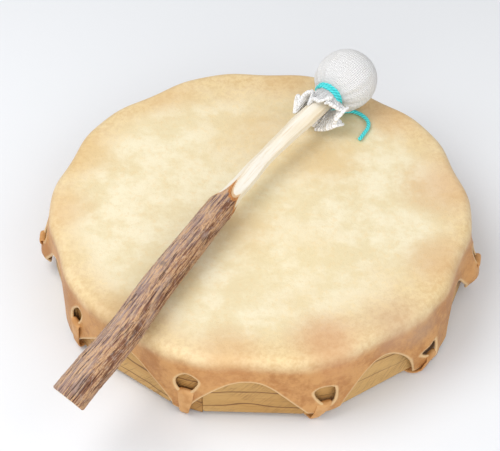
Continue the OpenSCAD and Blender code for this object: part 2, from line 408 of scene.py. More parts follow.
def wood_finish(name, pale, mid, dark, line_gap):
    """Sawn wood whose grain runs along the noted vector's first direction, its lines line_gap apart."""
    f = Finish(name, Specular_IOR_Level=0.4)
    grain = f.noted("grain", "Vector")
    wander = f.noise(f.scaled(grain, (9, 30, 34)), 1, 3, 0.5)
    _, deep, up = f.split(grain)
    rings = (up + 0.6 * deep) * (1 / line_gap) + 3.4 * wander
    wave = (rings * math.pi).math("SINE")
    line = f.step(wave, 0.93, 1.0)
    fibre = f.noise(f.scaled(grain, (40, 900, 1100)), 1, 3, 0.6)
    broad = f.noise(f.scaled(grain, (7, 24, 40)), 1, 3, 0.5)
    pores = f.step(f.noise(f.scaled(grain, (90, 1600, 1900)), 1, 2, 0.5), 0.62, 0.72)
    slanted = f.scaled(grain, (1, 1, 1), (0, math.radians(50), 0))
    scratch = f.noise(f.scaled(slanted, (50, 60, 1150)), 1, 2, 0.6)
    above = f.step(up, BOARD_LOW + 9 * MM, BOARD_LOW + 13 * MM)
    saw = f.step(scratch, 0.54, 0.64) * f.step(f.noise(grain, 40, 2, 0.5), 0.38, 0.55) * above
    colour = f.blend(pale, mid, f.step(broad, 0.35, 0.68))
    colour = f.blend(colour, dark, 0.85 * line * f.step(broad, 0.25, 0.5))
    colour = f.blend(colour, dark, 0.22 * f.step(fibre, 0.5, 0.75))
    colour = f.blend(colour, dark, 0.42 * saw + 0.30 * pores)
    colour = f.blend(colour, pale, 0.45 * (1 - above))
    height = 0.5 * fibre - 0.6 * line - 0.7 * saw - 0.4 * pores
    return f.set(Base_Color=colour, Roughness=0.48 + 0.15 * fibre, Normal=f.bump(height, 0.0004, 0.6))


def bark_finish():
    f = Finish("dry_bark", Specular_IOR_Level=0.2)
    skin = f.noted("bark_place", "Vector")
    right, up, _ = f.split(skin)
    streak = f.noise(f.scaled(skin, (640, 640, 24)), 1, 4, 0.6, 0.25)
    crack = f.noise(f.scaled(skin, (820, 820, 34)), 1, 3, 0.6, 0.3)
    fine = f.noise(f.scaled(skin, (1500, 1500, 420)), 1, 4, 0.7)
    patch = f.noise(f.scaled(skin, (75, 75, 26)), 1, 3, 0.5)
    flake = f.spots(f.scaled(skin, (420, 420, 190)), 1)
    red_side = f.step(right + 0.016 * (patch - 0.5) - 0.3 * up, -0.008, 0.007)
    colour = f.blend((0.36, 0.245, 0.215), (0.255, 0.115, 0.065), red_side)
    colour = f.blend(colour, (0.46, 0.35, 0.31), 0.6 * f.step(patch, 0.50, 0.66))
    ridge = f.step(f.noted("ridge") + 1.4 * (streak - 0.5), 0.20, 0.75)
    colour = f.blend(colour, (0.72, 0.45, 0.25), 0.85 * ridge * f.step(fine, 0.30, 0.55))
    groove = f.step(f.noted("ridge") + 1.2 * (streak - 0.5), 0.0, -0.55)
    colour = f.blend(colour, (0.095, 0.045, 0.035), 0.70 * groove)
    colour = f.blend(colour, (0.06, 0.03, 0.025), 0.85 * f.step(crack, 0.58, 0.63))
    flaky = f.step(flake, 0.50, 0.75) * f.step(fine, 0.4, 0.6)
    colour = f.blend(colour, (0.55, 0.44, 0.38), 0.45 * flaky)
    knot = f.step(f.noted("knot"), 0.2, 0.9)
    colour = f.blend(colour, (0.16, 0.14, 0.13), 0.8 * knot * f.step(fine, 0.35, 0.6))
    cut = f.step(f.noted("cut"), 0.35, 0.8)
    colour = f.blend(colour, f.blend((0.50, 0.19, 0.06), (0.70, 0.34, 0.13), f.step(fine, 0.4, 0.6)), cut)
    height = 0.9 * streak + 0.8 * fine - 0.3 * flake - 0.5 * f.step(crack, 0.56, 0.66)
    return f.set(Base_Color=colour, Roughness=0.72 + 0.2 * fine, Normal=f.bump(height, 0.0011, 0.85))


def whittled_finish():
    f = Finish("whittled_wood", Specular_IOR_Level=0.35)
    grain = f.noted("grain", "Vector")
    fibre = f.noise(f.scaled(grain, (22, 900, 900)), 1, 3, 0.6)
    broad = f.noise(f.scaled(grain, (12, 120, 120)), 1, 3, 0.5)
    colour = f.blend((0.84, 0.75, 0.58), (0.90, 0.86, 0.77), f.step(broad, 0.35, 0.65))
    colour = f.blend(colour, (0.70, 0.48, 0.25), 0.35 * f.step(fibre, 0.52, 0.72))
    colour = f.blend(colour, (0.66, 0.38, 0.16), 0.80 * f.step(f.noted("sap"), 0.0, 1.0))
    return f.set(Base_Color=colour, Roughness=0.5 + 0.15 * fibre, Normal=f.bump(fibre, 0.0004, 0.5))


def knit_finish(name, ribs, rows):
    f = Finish(name, Sheen_Weight=0.25, Sheen_Roughness=0.5, Specular_IOR_Level=0.15)
    uv = f.add("ShaderNodeUVMap")
    u, v, _ = f.split(uv)
    rib = (u * (TAU * ribs)).math("SINE")
    stitch = (v * (TAU * rows) + 1.2 * rib.math("ABSOLUTE")).math("SINE")
    fuzz = f.noise(f.place(), 1400, 3, 0.6)
    soft = f.noise(f.place(), 70, 3, 0.5)
    height = 0.8 * rib + 0.28 * stitch + 0.35 * fuzz
    # painted shade: the knit is painted darker in the hollows between ribs and stitches, and lighter on
    # their raised tops
    lit_rib_tops = f.step(rib + 0.4 * stitch + 1.2 * fuzz, -0.9, 0.9)
    colour = f.blend((0.84, 0.84, 0.845), (0.96, 0.96, 0.965), lit_rib_tops)
    colour = f.blend(colour, (0.88, 0.86, 0.82), 0.30 * f.step(soft, 0.5, 0.7))
    return f.set(Base_Color=colour, Roughness=0.85 + 0.1 * fuzz, Normal=f.bump(height, 0.0006, 0.9))


def cord_finish():
    f = Finish("turquoise_cord", Sheen_Weight=0.2, Specular_IOR_Level=0.2)
    fibre = f.noise(f.scaled(f.noted("lay", "Vector"), (1500, 1500, 260)), 1, 3, 0.6)
    groove = f.noted("groove")
    # painted shade: the cord is painted darker between its strands, where the noted groove value (strand
    # height) is low
    colour = f.blend((0.02, 0.42, 0.46), (0.09, 0.74, 0.76), f.step(groove + 0.5 * (fibre - 0.5), 0.1, 0.8))
    # painted highlight: pale cyan flecks on the fibres, standing in for glints of light on the cord
    colour = f.blend(colour, (0.30, 0.88, 0.88), 0.4 * f.step(fibre, 0.58, 0.75))
    return f.set(Base_Color=colour, Roughness=0.7 + 0.15 * fibre, Normal=f.bump(fibre, 0.0003, 0.6))


def wadding_finish():
    f = Finish("wadding", Sheen_Weight=0.3, Specular_IOR_Level=0.1)
    tuft = f.noise(f.place(), 500, 5, 0.7)
    colour = f.blend((0.78, 0.77, 0.74), (0.92, 0.92, 0.90), f.step(tuft, 0.35, 0.65))
    return f.set(Base_Color=colour, Roughness=0.9 + 0.05 * tuft, Normal=f.bump(tuft, 0.0015, 0.8))


def floor_finish():
    f = Finish("studio_paper", Roughness=0.6, Specular_IOR_Level=0.2)
    fibre = f.noise(f.place(), 500, 3, 0.6)
    # painted shade: the paper is painted darker and greyer towards the back, where the light falls off
    _, away, _ = f.split(f.place())
    paper = f.blend((0.79, 0.81, 0.84), (0.81, 0.83, 0.86), fibre)
    return f.set(Base_Color=f.blend(paper, (0.66, 0.68, 0.71), f.step(away, 0.1, 1.1)))


# --------------------------------------------------------------------------------- the tie cord

CORD_D = 3.6 * MM
TAIL_ROUTE = [(60.5, 110.5, 85.8), (61.5, 112.5, 83), (63.5, 115, 80.2), (66.5, 118, 77.9),
              (70, 120.5, 76.2), (74, 122, 75.4), (78, 122.5, 75.3), (82, 121.5, 75.3), (85.5, 119.5, 75.3),
              (89, 116.5, 75.3), (92, 112.5, 75.3), (93.7, 108, 75.3), (93.8, 103.5, 75.3),
              (92.7, 99, 75.3), (90.5, 94.5, 75.3), (88, 89.5, 75.3), (85.3, 84.5, 75.3)]
SHAFT_LAST = on_drum(20, 62.5, 96.3)
BALL_AT = on_drum(73.5, 137, 100)
NECK_AXIS = (BALL_AT - SHAFT_LAST).normalized()
NECK_LEN = 28 * MM
TIE_AT = BALL_AT - NECK_LEN * NECK_AXIS
NECK_RIGHT = NECK_AXIS.cross(Vector((0, 0, 1))).normalized()
NECK_UP = NECK_RIGHT.cross(NECK_AXIS)
SHAFT_R = 8.25 * MM
NECK_R = SHAFT_R + 2.3 * MM


def twisted_cord(name, line, around, along, hidden_start):
    """A three-strand cord along a line, round at its end and begun hidden_start into the same rounding."""
    line, run = smooth_line(line, along + 1)
    _, side, up = line_axes(line)
    lay_length = 9 * MM
    strands = 3

    def place(u, v):
        k = np.clip(np.rint(v * along).astype(int), 0, along)
        turn = TAU * u
        lobe = np.abs(np.cos(strands / 2 * (turn - TAU * run[k] / lay_length)))
        radius = CORD_D / 2 * (0.80 + 0.20 * lobe)
        to_end = np.minimum(run[k] + hidden_start, run[-1] - run[k])
        radius = radius * round_off(to_end, 1.4 * MM)
        return (line[k] + side[k] * (radius * np.cos(turn))[:, None]
                + up[k] * (radius * np.sin(turn))[:, None])

    piece = wrapped_grid(name, around, along, place)
    flat_u, flat_v = piece_uv(piece)
    k = np.rint(flat_v * along).astype(int)
    turn = TAU * flat_u - TAU * run[k] / lay_length
    # groove is each strand's height round the cord, 1 on a crown and 0 between strands; the cord's finish
    # paints shade between the strands from it
    note(piece, "groove", np.abs(np.cos(strands / 2 * turn)))
    note(piece, "lay", np.stack([CORD_D / 2 * np.cos(turn), CORD_D / 2 * np.sin(turn), run[k]], axis=1))
    sew(piece)
    return piece, line


def piece_uv(piece):
    """Each vertex's own u and v, from the grid that the piece was wrapped from."""
    loops = np.empty(len(piece.data.loops), int)
    piece.data.loops.foreach_get("vertex_index", loops)
    uv = np.empty(len(piece.data.loops) * 2)
    piece.data.uv_layers[0].data.foreach_get("uv", uv)
    flat = np.zeros((len(piece.data.vertices), 2))
    flat[loops] = uv.reshape(-1, 2)
    return flat[:, 0], flat[:, 1]


cord_look = cord_finish()
tail, tail_line = twisted_cord("tie_cord_tail", [on_drum(*p) for p in TAIL_ROUTE], 24, 150, 0.9 * MM)
dress(tail, cord_look, "beater", "tie_cord", "tie_tail")

winding = []
for step in range(49):
    share = step / 48
    turn = math.radians(-62) + TAU * 1.8 * share
    reach = NECK_R + CORD_D * (0.50 + 0.05 * math.sin(3 * turn))
    shift = CORD_D * (share * 2 - 1) * 0.82
    winding.append(TIE_AT + NECK_AXIS * shift
                   + reach * (NECK_RIGHT * math.cos(turn) + NECK_UP * math.sin(turn)))

turns, _ = twisted_cord("tie_cord_turns", winding, 24, 420, 2 * MM)
dress(turns, cord_look, "beater", "tie_cord", "tie_turns")

# -------------------------------------------------------------------------------------- the hide

# Each lug: its direction in degrees, its tip's height, how far the tip reaches to each side in degrees, how
# far it stands off the hoop, its hole's place across and up, and the hole's sides as (way out, distance)
Lug = namedtuple("Lug", "way tip reaches bulge hole sides")
LUGS = [
    Lug(-8, 12, (2.5, 4), 10, (6, 42), [(90, 9), (45, 8), (0, 6), (180, 6), (250, 9), (300, 8)]),
    Lug(30, 10, (4, 4), 2.5, (0, 31), [(90, 9.5), (205, 7.5), (335, 7.5), (150, 10), (30, 10)]),
    Lug(68, 9, (4, 4), 1.5, (0, 28), [(90, 9), (212, 7), (328, 7.5), (30, 9.5)]),
    Lug(106, 11, (4, 4), 3.5, (0, 33), [(90, 8), (200, 7), (338, 7), (270, 12)]),
    Lug(143, 10, (4, 4), 2, (0, 30), [(90, 9), (210, 7.5), (330, 7), (150, 10)]),
    Lug(181.5, 10, (4, 2.5), 9.5, (2, 44), [(90, 8), (45, 8.5), (0, 6.5), (180, 6.5), (260, 8)]),
    Lug(211, 9, (5.5, 1.5), 2, (12, 42),
        [(180, 8), (136, 6.3), (45, 12), (346, 6.3), (320, 6.4), (231, 13.4)]),
    Lug(251, 7.5, (2.3, 1.7), 0.8, (5, 40),
        [(90, 12), (139, 9.2), (51, 11.6), (334, 8.3), (284, 11.4), (238, 12.5), (190, 10.5)]),
    Lug(288.5, 9, (4.5, 4.5), 2, (0, 28),
        [(78, 11.2), (130, 12), (205, 6.8), (234, 8.5), (307, 12.2), (0, 9.7)]),
    Lug(324, 5, (7.5, 8.5), 4.5, (-5, 22), [(0, 5.5), (118, 5.2), (243, 6.6)]),
]
# The scallop after each lug: its height, how far along it is highest, and how slowly it rises from each end
SCALLOPS = [(38, 0.5, 1, 1), (41, 0.45, 1, 1), (42, 0.55, 1, 1), (40, 0.5, 1, 1), (36, 0.5, 1, 1),
            (49, 0.62, 0.8, 0.6), (46, 0.52, 1.4, 0.7), (47.5, 0.50, 0.8, 1.0), (44.5, 0.53, 0.95, 0.5),
            (42.5, 0.45, 0.6, 0.8)]
HOLE_ROUND = 2.2 * MM
COLUMNS, HEAD_ROWS, BEND_ROWS, SKIRT_ROWS = 960, 10, 7, 40
HIDE_ROWS = HEAD_ROWS + BEND_ROWS + SKIRT_ROWS
MID_T = HIDE_T / 2

lug_turns = np.radians([lug.way for lug in LUGS])
per_gap = COLUMNS // SIDES
columns = []
for k in range(SIDES):
    gap_turn = (lug_turns[(k + 1) % SIDES] - lug_turns[k]) % TAU
    for step in range(per_gap):
        w = step / per_gap
        columns.append(lug_turns[k] + gap_turn * (w - 0.55 * math.sin(TAU * w) / TAU))
columns = np.array(columns + [columns[0] + TAU])


def rounded_outline():
    """The hide's middle surface round the hoop: its outline, with the corners drawn round."""
    turn = np.linspace(0, TAU, 1440, endpoint=False)
    reach = hoop_outline(turn, GAP + MID_T)
    window = range(-14, 15)
    reach = np.max([np.roll(reach, k) for k in window], axis=0)
    reach = np.mean([np.roll(reach, k) for k in window], axis=0)
    ring = np.stack([np.cos(turn), np.sin(turn), 0 * turn], axis=1)
    reach = reach + 0.6 * MM * (1 + ripple(ring, 2.2, 4)) * 0.5
    return np.interp(columns % TAU, np.append(turn, TAU), np.append(reach, reach[0]))


def lower_edge():
    """Height of the hide's lower edge in each column, and how near the column is to a lug."""
    heights, nearness = [], []
    for k in range(SIDES):
        here, after = LUGS[k], LUGS[(k + 1) % SIDES]
        top, peak, rise_before, rise_after = SCALLOPS[k]
        gap = math.degrees((lug_turns[(k + 1) % SIDES] - lug_turns[k]) % TAU)
        first, last = here.reaches[1], gap - after.reaches[0]
        middle = first + (last - first) * peak
        for step in range(per_gap):
            at = math.degrees((columns[k * per_gap + step] - lug_turns[k]) % TAU)
            if at < middle:
                tip, edge, slow, from_lug, reach = here.tip, first, rise_before, at, first
            else:
                tip, edge, slow, from_lug, reach = after.tip, last, rise_after, gap - at, gap - last
            share = min(max((at - edge) / (middle - edge), 0), 1)
            rise = math.sin(share * math.pi / 2) ** slow
            sag = 1.5 * (1 - min(from_lug / reach, 1) ** 2)
            wobble = 0.5 * math.sin(0.55 * at + 2 * k) * share
            heights.append((tip - sag + (top - tip) * rise + wobble) * MM)
            nearness.append(1 - share)
    return np.array(heights + heights[:1]), np.array(nearness + nearness[:1])


HIDE_OUT = rounded_outline()
EDGE_Z, NEAR_LUG = lower_edge()
BEND_R = EDGE_R + GAP + MID_T
MID_TOP = HEAD_TOP - MID_T
RIM_Z = MID_TOP - BEND_R


def hole_depth(across, up, sides):
    """How far a point lies outside a hole with rounded corners: below 0 it is in the hole."""
    total = 0
    for way, distance in sides:
        way = math.radians(way)
        total = total + np.exp((across * math.cos(way) + up * math.sin(way) - distance * MM) / HOLE_ROUND)
    return HOLE_ROUND * np.log(total)


def hide_place(u, v):
    column = np.clip(np.rint(u * COLUMNS).astype(int), 0, COLUMNS)
    row = v * HIDE_ROWS
    turn, reach, edge = columns[column], HIDE_OUT[column], EDGE_Z[column]
    head = np.clip(row / HEAD_ROWS, 0, 1)
    bend = np.clip((row - HEAD_ROWS) / BEND_ROWS, 0, 1) * math.pi / 2
    skirt = np.clip((row - HEAD_ROWS - BEND_ROWS) / SKIRT_ROWS, 0, 1)
    skirt = 1 - (1 - skirt) ** 1.12
    r = (reach - BEND_R) * head ** 0.8 + BEND_R * np.sin(bend)
    z = MID_TOP - BEND_R * (1 - np.cos(bend)) + (edge - RIM_Z) * skirt
    z = z - 0.35 * MM * (1 - ease(head, 0.80, 0.97)) * (head < 1)
    lug = np.zeros_like(r)
    ridge = np.zeros_like(r)
    for one in LUGS:
        shift, high = one.hole
        off = ((turn - math.radians(one.way) + math.pi) % TAU - math.pi) * FLAT_R
        knob = (one.tip + 0.3 * (high - one.tip)) * MM
        swell = ease(RIM_Z - z, 0, RIM_Z - knob) * (1 - 0.75 * ease(knob - z, 0, knob - (one.tip - 2) * MM))
        spread = np.abs(off - 0.4 * shift * MM) / (11.5 * MM)
        lug = lug + one.bulge * MM * np.exp(-spread ** 3) * swell
        ridge = ridge + np.exp(-(off / (30 * MM)) ** 2) * ease(RIM_Z - z, 2 * MM, 20 * MM)
    curl = 0.5 * MM * skirt ** 6 * (1 - NEAR_LUG[column])
    r = r + lug + 0.5 * MM * ridge + curl
    return np.stack([AXIS.x + r * np.cos(turn), AXIS.y + r * np.sin(turn), z], axis=1)


def cut_lug_holes(piece, u, v):
    """Moves the vertices beside each hole onto its edge. Gives each vertex's gap to it, and which go."""
    points = read_points(piece)
    turn = columns[np.clip(np.rint(u * COLUMNS).astype(int), 0, COLUMNS)]
    row = np.rint(v * HIDE_ROWS).astype(int)
    edge_gap = np.full(len(points), 1.0)
    doomed = np.zeros(len(points), bool)
    links = np.empty(len(piece.data.edges) * 2, int)
    piece.data.edges.foreach_get("vertices", links)
    links = links.reshape(-1, 2)
    reach = np.hypot(points[:, 0] - AXIS.x, points[:, 1] - AXIS.y)
    for one in LUGS:
        (shift, high), sides = one.hole, one.sides
        middle = math.radians(one.way) + shift * MM / FLAT_R
        off = ((turn - middle + math.pi) % TAU - math.pi)
        across, up = off * reach, points[:, 2] - high * MM
        nearby = (np.abs(across) < 22 * MM) & (np.abs(up) < 18 * MM) & (row > HEAD_ROWS + BEND_ROWS)
        depth = np.where(nearby, hole_depth(across, up, sides), 1.0)
        inside = depth < 0
        touching = np.zeros(len(points), bool)
        for a, b in ((0, 1), (1, 0)):
            touching[links[inside[links[:, a]] & ~inside[links[:, b]], a]] = True
        for _ in range(4):
            tiny = 0.02 * MM
            here = hole_depth(across, up, sides)
            slope_x = (hole_depth(across + tiny, up, sides) - here) / tiny
            slope_z = (hole_depth(across, up + tiny, sides) - here) / tiny
            steep = np.maximum(slope_x ** 2 + slope_z ** 2, 0.05)
            across = np.where(touching, across - here * slope_x / steep, across)
            up = np.where(touching, up - here * slope_z / steep, up)
        new_turn = middle + across / np.maximum(reach, 1 * MM)
        points[touching, 0] = AXIS.x + (reach * np.cos(new_turn))[touching]
        points[touching, 1] = AXIS.y + (reach * np.sin(new_turn))[touching]
        points[touching, 2] = (up + high * MM)[touching]
        doomed |= inside & ~touching
        to_hole = np.maximum(hole_depth(across, up, sides), 0)
        edge_gap = np.where(nearby, np.minimum(edge_gap, to_hole), edge_gap)
    write_points(piece, points)
    return edge_gap, doomed


def delete_faces(piece, chosen):
    choose(piece)
    bpy.ops.object.mode_set(mode="EDIT")
    bpy.ops.mesh.select_mode(type="FACE")
    bpy.ops.mesh.select_all(action="DESELECT")
    bpy.ops.object.mode_set(mode="OBJECT")
    piece.data.polygons.foreach_set("select", chosen)
    bpy.ops.object.mode_set(mode="EDIT")
    bpy.ops.mesh.delete(type="FACE")
    bpy.ops.mesh.select_mode(type="VERT")
    bpy.ops.object.mode_set(mode="OBJECT")


EVEN_BEAD = 0.76


def make_hide():
    """The hide, thicker along its rolled edges and rounded off there."""
    piece = wrapped_grid("hide_head", COLUMNS, HIDE_ROWS, hide_place)
    u, v = piece_uv(piece)
    hole_gap, doomed = cut_lug_holes(piece, u, v)
    points = read_points(piece)
    column = np.clip(np.rint(u * COLUMNS).astype(int), 0, COLUMNS)
    slope = np.gradient(EDGE_Z) / np.maximum(np.gradient(columns) * FLAT_R, 1e-6)
    edge_gap = (points[:, 2] - EDGE_Z[column]) / np.sqrt(1 + slope[column] ** 2)
    edge_gap = np.where(v * HIDE_ROWS > HEAD_ROWS + BEND_ROWS, edge_gap, 1.0)
    gap = np.minimum(edge_gap, hole_gap)
    bead = EVEN_BEAD + (1 - EVEN_BEAD) * (1 - ease(gap, 1.5 * MM, 4.5 * MM))
    note(piece, "at_edge", 1 - ease(gap, 0, 4 * MM))
    group = piece.vertex_groups.new(name="thickness")
    for index, weight in enumerate(np.clip(bead * (0.22 + 0.78 * round_off(gap, 1.7 * MM)), 0.05, 1)):
        group.add([index], float(weight), "REPLACE")
    in_hole = []
    for polygon in piece.data.polygons:
        corners = list(polygon.vertices)
        in_hole.append(bool(doomed[corners].any() or (hole_gap[corners] < 0.02 * MM).all()))
    delete_faces(piece, in_hole)
    edit(piece, merge, face_out)
    modify(piece, "SOLIDIFY", thickness=HIDE_T / EVEN_BEAD, offset=0, vertex_group="thickness",
           use_even_offset=False)
    smooth(piece)
    return piece


hide = make_hide()
dress(hide, hide_finish(), "drum", "hide", "drum_head")

# -------------------------------------------------------------------------- the hoop's wood parts


def modelled_block(name, half_out, half_in, outer, thick, low, high, bottom_r):
    """A board or post of the hoop, on the +X side: mitred ends, rounded outer top edge, eased edges."""
    deselect()
    bpy.ops.mesh.primitive_cube_add(size=1, location=(outer - thick / 2, 0, (low + high) / 2))
    bpy.context.object.scale = (thick, 2 * half_out, high - low)
    piece = settle(name)
    points = read_points(piece)
    inner = points[:, 0] < outer - thick / 2
    points[inner, 1] *= half_in / half_out
    write_points(piece, points)

    def pick_edges(test):
        bpy.ops.mesh.select_mode(type="EDGE")
        bpy.ops.mesh.select_all(action="DESELECT")
        bpy.ops.object.mode_set(mode="OBJECT")
        co = read_points(piece)
        for one in piece.data.edges:
            one.select = bool(test(co[one.vertices[0]], co[one.vertices[1]]))
        bpy.ops.object.mode_set(mode="EDIT")

    def is_bottom(a, b):
        return max(a[2], b[2]) < low + 1e-5

    def is_top_outer(a, b):
        return min(a[2], b[2]) > high - 1e-5 and min(a[0], b[0]) > outer - 1e-5

    choose(piece)
    bpy.ops.object.mode_set(mode="EDIT")
    if bottom_r:
        pick_edges(is_bottom)
        bpy.ops.mesh.bevel(offset=bottom_r, segments=6, affect="EDGES")
    pick_edges(is_top_outer)
    bpy.ops.mesh.bevel(offset=EDGE_R, segments=7, affect="EDGES")
    bpy.ops.mesh.select_all(action="DESELECT")
    bpy.ops.mesh.select_mode(type="EDGE")
    bpy.ops.mesh.edges_select_sharp(sharpness=math.radians(40))
    bpy.ops.mesh.bevel(offset=0.9 * MM, segments=3, affect="EDGES", clamp_overlap=True)
    bpy.ops.mesh.select_mode(type="VERT")
    bpy.ops.object.mode_set(mode="OBJECT")
    smooth_by_angle(piece, 35)
    return piece


def copied_round(model, name, node, finish, slot, start):
    """Ten copies of a block round the drum's axis, each with its own mesh and stretch of grain."""
    local = read_points(model)
    for k in range(SIDES):
        copy = model.copy()
        copy.data = model.data.copy()
        copy.name = copy.data.name = f"{name}_{k + 1}"
        bpy.context.collection.objects.link(copy)
        grain_start = [0.37 * k, 0.011 * k, 0.0043 * (k * 7 % 5)]
        note(copy, "grain", local[:, [1, 0, 2]] + grain_start)
        turn = start + k * TURN
        c, s = math.cos(turn), math.sin(turn)
        out = local[:, 0] + (0.14 * math.sin(2.1 * k) - 0.2) * MM
        write_points(copy, np.stack([AXIS.x + c * out - s * local[:, 1],
                                     AXIS.y + s * out + c * local[:, 1], local[:, 2]], axis=1))
        dress(copy, finish, "drum", slot, f"{node}_{k + 1}")
    bpy.data.objects.remove(model)


BOARD_TOP = BOARD_LOW + HOOP_H
JOINT = 0.15 * MM
MITRE = math.tan(TURN / 4)
board_look = wood_finish("hoop_board_wood", (0.60, 0.37, 0.135), (0.49, 0.27, 0.080), (0.17, 0.070, 0.020),
                         0.008)
post_look = wood_finish("corner_post_wood", (0.58, 0.33, 0.11), (0.46, 0.24, 0.066), (0.17, 0.065, 0.018),
                        0.006)
board = modelled_block("board_model", BOARD_HALF - JOINT, BOARD_HALF - BOARD_T * MITRE - JOINT,
                       FLAT_R, BOARD_T, BOARD_LOW, BOARD_TOP, 6 * MM)
copied_round(board, "sawn_board", "hoop_board", board_look, "hoop_wood", TURN / 2)
post = modelled_block("post_model", POST_W / 2 - POST_BACK * MITRE - JOINT,
                      POST_W / 2 - BOARD_T * MITRE - JOINT,
                      POST_R - POST_BACK, BOARD_T - POST_BACK, BOARD_LOW, BOARD_TOP, 0)
copied_round(post, "sawn_post", "corner_post", post_look, "post_wood", 0)

# ------------------------------------------------------------------------- laces and hand ring

RING_R = (ring_high.x - ring_low.x + ring_high.y - ring_low.y) / 4 - (ring_high.z - ring_low.z) / 2
RING_Z = (ring_low.z + ring_high.z) / 2
RING_HALF = (ring_high.z - ring_low.z) / 2
LACE_T = 2 * MM


def lace_route(lug, out):
    """The middle line of a lace, as (distance from the axis, height), from its lug hole to the ring."""
    bottom = lug.hole[1] * MM + hole_bottom(lug.sides)
    push = lug.bulge * MM
    face = out + push * 0.92 + MID_T + 0.9 * MM
    foot = max(lug.tip - 1, 3) * MM
    under = LACE_T / 2 + 0.1 * MM
    wrap = RING_HALF + LACE_T / 2 + 0.1 * MM
    in_hole = [(out + push * 0.8 - 2.6 * MM, bottom - 0.6 * MM),
               (out + push * 0.9 - 0.6 * MM, bottom + 0.4 * MM),
               (face - 0.9 * MM, bottom - 0.2 * MM)]
    down = [(face - 0.2 * MM, bottom - 2.6 * MM),
            (out + 0.6 * push + MID_T + 1.0 * MM, bottom * 0.5 + foot * 0.5),
            (out + 0.28 * push + MID_T + 0.9 * MM, foot),
            (out + 0.1 * push + 1.4 * MM, 0.5 * foot + 1.5 * MM),
            (out + 0.4 * MM, 1.9 * MM)]
    inward = [(out - 3 * MM, under), (out - 12 * MM, under), (0.7 * out, under), (0.45 * out, under),
              (RING_R + 16 * MM, under)]
    round_ring = []
    for angle in (-70, -100, -130, -160, -190, -220, -250, -280, -310, -330):
        turn = math.radians(angle)
        round_ring.append((RING_R + wrap * math.cos(turn), RING_Z + wrap * math.sin(turn)))
    end = [(RING_R + 10 * MM, under + LACE_T + 1.1 * MM), (RING_R + 17 * MM, under + LACE_T + 0.5 * MM)]
    return in_hole + down + inward + round_ring + end


# How far each lace leans sideways on its way down the hoop, in millimetres
LACE_LEAN = [14, 0, 2, -2, 1, -14, 7, 1, -12, -20]


def hole_bottom(sides):
    """Height of a hole's lowest point from its middle."""
    up = np.linspace(-16, 0, 161) * MM
    depth = hole_depth(0 * up, up, sides)
    return float(up[np.argmax(depth < 0)])


def make_lace(k, finish):
    lug = LUGS[k]
    shift, high = lug.hole
    way = math.radians(lug.way)
    outward = Vector((math.cos(way), math.sin(way), 0))
    along_rim = Vector((-math.sin(way), math.cos(way), 0))
    stations = 190
    route = lace_route(lug, HIDE_OUT[k * per_gap])
    line, run = smooth_line([(r, 0, z) for r, z in route], stations + 1)
    ahead = np.gradient(line, axis=0)
    ahead /= np.linalg.norm(ahead, axis=1)[:, None]
    face_way = np.stack([-ahead[:, 2], 0 * run, ahead[:, 0]], axis=1)
    wide = 3.7 * MM + 2.9 * MM * (1 - ease(run, 4 * MM, high * MM))
    wide = wide + 0.3 * MM * np.sin(run / (11 * MM) + 2 * k) - 0.6 * MM * ease(run, 60 * MM, 150 * MM)
    lean = (shift + (LACE_LEAN[k] - shift) * ease(run, 0, 1.3 * high * MM)) * MM
    lean = lean * (1 - ease(run, 45 * MM, 120 * MM))
    half_t = LACE_T / 2 * (1 + 0.1 * np.sin(run / (7 * MM) + k))
    sway = 0.8 * MM * np.sin(run / (31 * MM) + 1.7 * k) * ease(run, 40 * MM, 70 * MM)

    def place(u, v):
        at = np.clip(np.rint(v * stations).astype(int), 0, stations)
        turn = TAU * u
        c, s = np.cos(turn), np.sin(turn)
        x = np.sign(c) * np.abs(c) ** 0.55 * wide[at]
        y = np.sign(s) * np.abs(s) ** 0.75 * half_t[at]
        shut = round_off(np.minimum(run[at], run[-1] - run[at]), 1.5 * MM)
        flat = line[at] + face_way[at] * (y * shut)[:, None]
        level = x * shut + sway[at] + lean[at]
        return np.stack([AXIS.x + outward.x * flat[:, 0] + along_rim.x * level,
                         AXIS.y + outward.y * flat[:, 0] + along_rim.y * level,
                         np.maximum(flat[:, 2], 0.02 * MM)], axis=1)

    piece = wrapped_grid(f"rawhide_lace_{k + 1}", 20, stations, place)
    sew(piece)
    dress(piece, finish, "drum", "lace_hide", f"lace_{k + 1}")


lace_look = lace_finish()
for k in range(SIDES):
    make_lace(k, lace_look)


def make_hand_ring():
    """A turned ring with two shallow grooves."""
    deselect()
    bpy.ops.mesh.primitive_torus_add(major_radius=RING_R, minor_radius=RING_HALF - 0.05 * MM,
                                     major_segments=144, minor_segments=40,
                                     location=(AXIS.x, AXIS.y, RING_Z))
    piece = settle("turned_hand_ring")
    points = read_points(piece)
    x, y, z = points[:, 0] - AXIS.x, points[:, 1] - AXIS.y, points[:, 2] - RING_Z
    reach, turn = np.hypot(x, y), np.arctan2(y, x)
    roll = np.arctan2(z, reach - RING_R)
    thick = np.hypot(z, reach - RING_R)
    for groove in (-0.6, 0.6):
        thick = thick - 0.35 * MM * np.exp(-((roll - groove) / 0.12) ** 2)
    new_reach = RING_R + thick * np.cos(roll)
    write_points(piece, np.stack([AXIS.x + new_reach * np.cos(turn), AXIS.y + new_reach * np.sin(turn),
                                  RING_Z + thick * np.sin(roll)], axis=1))
    note(piece, "grain", np.stack([x, y, z], axis=1))
    smooth(piece)
    ring_look = wood_finish("hand_ring_wood", (0.36, 0.19, 0.09), (0.27, 0.13, 0.055),
                            (0.12, 0.055, 0.025), 0.006)
    dress(piece, ring_look, "drum", "ring_wood", "hand_ring")


make_hand_ring()

# ------------------------------------------------------------------------------------ the beater

